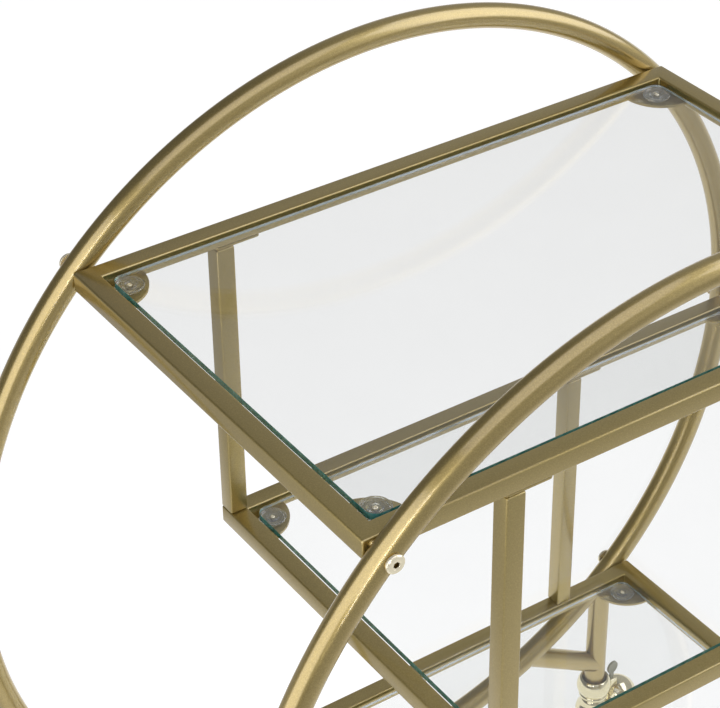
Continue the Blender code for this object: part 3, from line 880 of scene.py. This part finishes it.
def make_lever(side, end):
    """The brake lever: a flat oval paddle with a raised rim, on a stalk with its pin through the cheeks."""
    node = f"brake_lever_{side}_{end}"
    socket = middle(f"caster_socket_{side}_{end}")
    place = (
        socket.x + ENDS[end] * LEVER_REACH, middle(node).y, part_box(node)[0].z + LEVER_BARREL
    )
    pivot = Vector(place)
    half = LEVER_HALF_THICKNESS
    along_y = aimed(pivot, (0, 1, 0))
    barrel_profile = [(0.0, -half), (LEVER_BARREL, -half), (LEVER_BARREL, half), (0.0, half)]
    barrel = turned_tool("barrel", rounded(barrel_profile, 0.0003, 2), 40, along_y)
    reach = size(node).y / 2
    pin_profile = [(0.0, -reach), (LEVER_PIN_RADIUS, -reach), (LEVER_PIN_RADIUS, reach), (0.0, reach)]
    pin = turned_tool("pin", rounded(pin_profile, 0.0002, 2), 24, along_y)
    stalk_low = Vector((-STALK_HALF_WIDTH, -half, 0.0))
    stalk_high = Vector((STALK_HALF_WIDTH, half, PADDLE_HEIGHT - 0.004))
    stalk = box_tool("stalk", pivot + stalk_low, pivot + stalk_high, 0.0004)
    radius = PADDLE_RADIUS
    rim = [
        (0.0, -half + 0.0003), (radius - 0.0018, -half + 0.0003), (radius - 0.0012, -half),
        (radius - 0.0003, -half), (radius, -half + 0.0004), (radius, half - 0.0004),
        (radius - 0.0003, half), (radius - 0.0012, half), (radius - 0.0018, half - 0.0003),
        (0.0, half - 0.0003),
    ]
    centre = Matrix.Translation(pivot + Vector((PADDLE_OFFSET, 0, PADDLE_HEIGHT)))
    lean = Matrix.Rotation(math.radians(PADDLE_LEAN), 4, "Y")
    stretch = Matrix.Diagonal((1, 1, PADDLE_STRETCH, 1))
    paddle_place = centre @ lean @ stretch @ aimed((0, 0, 0), (0, 1, 0))
    paddle = turned_tool("paddle", rounded(rim, 0.0003, 2), 56, paddle_place)
    bm = carve(barrel, [("UNION", pin), ("UNION", stalk), ("UNION", paddle)])
    lever = mesh_piece(f"finished_{node}", bm, "lever_grey", f"brake_{side}_{end}", smooth_angle=40)
    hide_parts(node)


for corner in CORNERS:
    make_socket(*corner)
    make_hood(*corner)
    make_wheel(*corner)
    axle_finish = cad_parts[f"axle_{corner[0]}_{corner[1]}"].data.materials
    axle_finish.clear()
    axle_finish.append(MATERIALS["steel"])
for corner in BRAKED:
    make_lever(*corner)

# ---------------------------------------------------------------- floor, light and camera

FLOOR_REACH = 14.0
FLOOR_WHITE = 0.25
FLOOR_GLOW = 0.92
FLOOR_DIM = 0.42
FLOOR_LEFTWARD = (0.907, -0.420, 0.0)
SKY = 0.17
SKY_BRIGHTER = 0.28
COOL_SIDE = (1.0, 1.0, 1.09)
COOL_OVERHEAD = (0.98, 1.0, 1.25)
COOL_RIGHT = (0.97, 1.0, 1.18)

CAMERA_AZIMUTH = 33.68
CAMERA_ELEVATION = 34.75
CAMERA_ROLL = -0.836
CAMERA_LENS = 115.71
CAMERA_PLACE = (-0.85597, -1.06330, 1.59168)


def fade(tree, value, start, end, low, high):
    """Rises smoothly from low to high while the value goes from start to end."""
    node = add_node(tree, "ShaderNodeMapRange", interpolation_type="SMOOTHSTEP")
    for name, number in (("From Min", start), ("From Max", end), ("To Min", low), ("To Max", high)):
        node.inputs[name].default_value = number
    tree.links.new(value, node.inputs["Value"])
    return node.outputs["Result"]


def along(tree, where, direction):
    """How far a place lies along a direction."""
    node = add_node(tree, "ShaderNodeVectorMath", operation="DOT_PRODUCT")
    tree.links.new(where, node.inputs[0])
    node.inputs[1].default_value = direction
    return node.outputs["Value"]


def make_floor():
    """A white floor with a pool of light behind the cart, dimmer to the left and in front."""
    material, tree, shader = node_material("studio_floor")
    shader.inputs["Base Color"].default_value = (FLOOR_WHITE, FLOOR_WHITE, FLOOR_WHITE, 1.0)
    shader.inputs["Roughness"].default_value = 0.9
    shader.inputs["Emission Color"].default_value = (1.0, 1.0, 1.0, 1.0)
    where = position(tree)
    from_left = fade(tree, along(tree, where, FLOOR_LEFTWARD), -0.78, -0.34, FLOOR_DIM, 1.0)
    from_front = fade(tree, along(tree, where, (0.0, 1.0, 0.0)), -1.3, 0.42, FLOOR_DIM, 1.0)
    pool = add_node(tree, "ShaderNodeMath", operation="MULTIPLY")
    tree.links.new(from_left, pool.inputs[0])
    tree.links.new(from_front, pool.inputs[1])
    glow = add_node(tree, "ShaderNodeMath", operation="MULTIPLY")
    tree.links.new(pool.outputs["Value"], glow.inputs[0])
    glow.inputs[1].default_value = FLOOR_GLOW
    tree.links.new(glow.outputs["Value"], shader.inputs["Emission Strength"])
    bm = bmesh.new()
    signs = ((-1, -1), (1, -1), (1, 1), (-1, 1))
    bm.faces.new([bm.verts.new((FLOOR_REACH * x, FLOOR_REACH * y, 0.0)) for x, y in signs])
    mesh = bpy.data.meshes.new("studio_floor")
    bm.to_mesh(mesh)
    bm.free()
    mesh.materials.append(material)
    floor = bpy.data.objects.new("studio_floor", mesh)
    bpy.context.scene.collection.objects.link(floor)


def softbox(name, place, facing, width, height, radiance, colour):
    """A flat light, as bright as a surface of that radiance; its height is along +Y if it faces down."""
    light = bpy.data.lights.new(name, "AREA")
    light.color = colour
    light.shape = "RECTANGLE"
    light.size = width
    light.size_y = height
    light.energy = radiance * math.pi * width * height
    obj = bpy.data.objects.new(name, light)
    obj.location = place
    obj.rotation_euler = Vector(facing).to_track_quat("-Z", "Y").to_euler()
    obj.visible_camera = False
    bpy.context.scene.collection.objects.link(obj)


def make_lights():
    """A dim surround, brighter to the right and in front, and five softboxes."""
    world = bpy.data.worlds.new("studio")
    world.use_nodes = True
    tree = world.node_tree
    background = tree.nodes["Background"]
    background.inputs["Color"].default_value = (1.0, 1.0, 1.0, 1.0)
    direction = add_node(tree, "ShaderNodeTexCoord").outputs["Generated"]
    rightward = along(tree, direction, (1.0, 0.0, 0.0))
    to_right = fade(tree, rightward, 0.0, 0.6, SKY, SKY + SKY_BRIGHTER)
    frontward = along(tree, direction, (0.0, -1.0, 0.0))
    to_front = fade(tree, frontward, 0.3, 0.95, 0.0, SKY_BRIGHTER)
    both = add_node(tree, "ShaderNodeMath", operation="ADD")
    tree.links.new(to_right, both.inputs[0])
    tree.links.new(to_front, both.inputs[1])
    tree.links.new(both.outputs["Value"], background.inputs["Strength"])
    bpy.context.scene.world = world
    softbox("left", (-0.92, -0.20, 0.95), (1.0, 0.0, 0.0), 0.80, 1.30, 1.70, COOL_SIDE)
    softbox("left_front", (-0.92, -0.83, 1.28), (1.0, 0.0, 0.0), 0.45, 0.65, 1.9, COOL_SIDE)
    softbox("left_rim", (-0.90, -1.04, 1.20), (0.85, 0.5, 0.0), 0.05, 0.80, 14.0, COOL_SIDE)
    softbox("overhead", (-0.18, -0.50, 1.65), (0.0, 0.0, -1.0), 1.05, 1.15, 0.90, COOL_OVERHEAD)
    softbox("right", (1.00, -0.55, 1.625), (-1.0, 0.0, 0.0), 1.50, 1.65, 1.8, COOL_RIGHT)


def make_camera():
    """A long lens looking down from the front left, with a slight roll."""
    azimuth = math.radians(CAMERA_AZIMUTH)
    elevation = math.radians(CAMERA_ELEVATION)
    roll = math.radians(CAMERA_ROLL)
    ahead = Vector((math.sin(azimuth), math.cos(azimuth), 0.0))
    forward = ahead * math.cos(elevation) - Vector((0.0, 0.0, math.sin(elevation)))
    level = Vector((math.cos(azimuth), -math.sin(azimuth), 0.0))
    upright = level.cross(forward)
    right = level * math.cos(roll) + upright * math.sin(roll)
    up = upright * math.cos(roll) - level * math.sin(roll)
    turn = Matrix((right, up, -forward)).transposed().to_4x4()
    camera = bpy.data.cameras.new("camera")
    camera.lens = CAMERA_LENS
    camera.sensor_width = 36.0
    camera.clip_start = 0.05
    obj = bpy.data.objects.new("camera", camera)
    obj.matrix_world = Matrix.Translation(CAMERA_PLACE) @ turn
    bpy.context.scene.collection.objects.link(obj)
    bpy.context.scene.camera = obj


make_floor()
make_lights()
make_camera()
bpy.context.scene.view_settings.view_transform = "Standard"
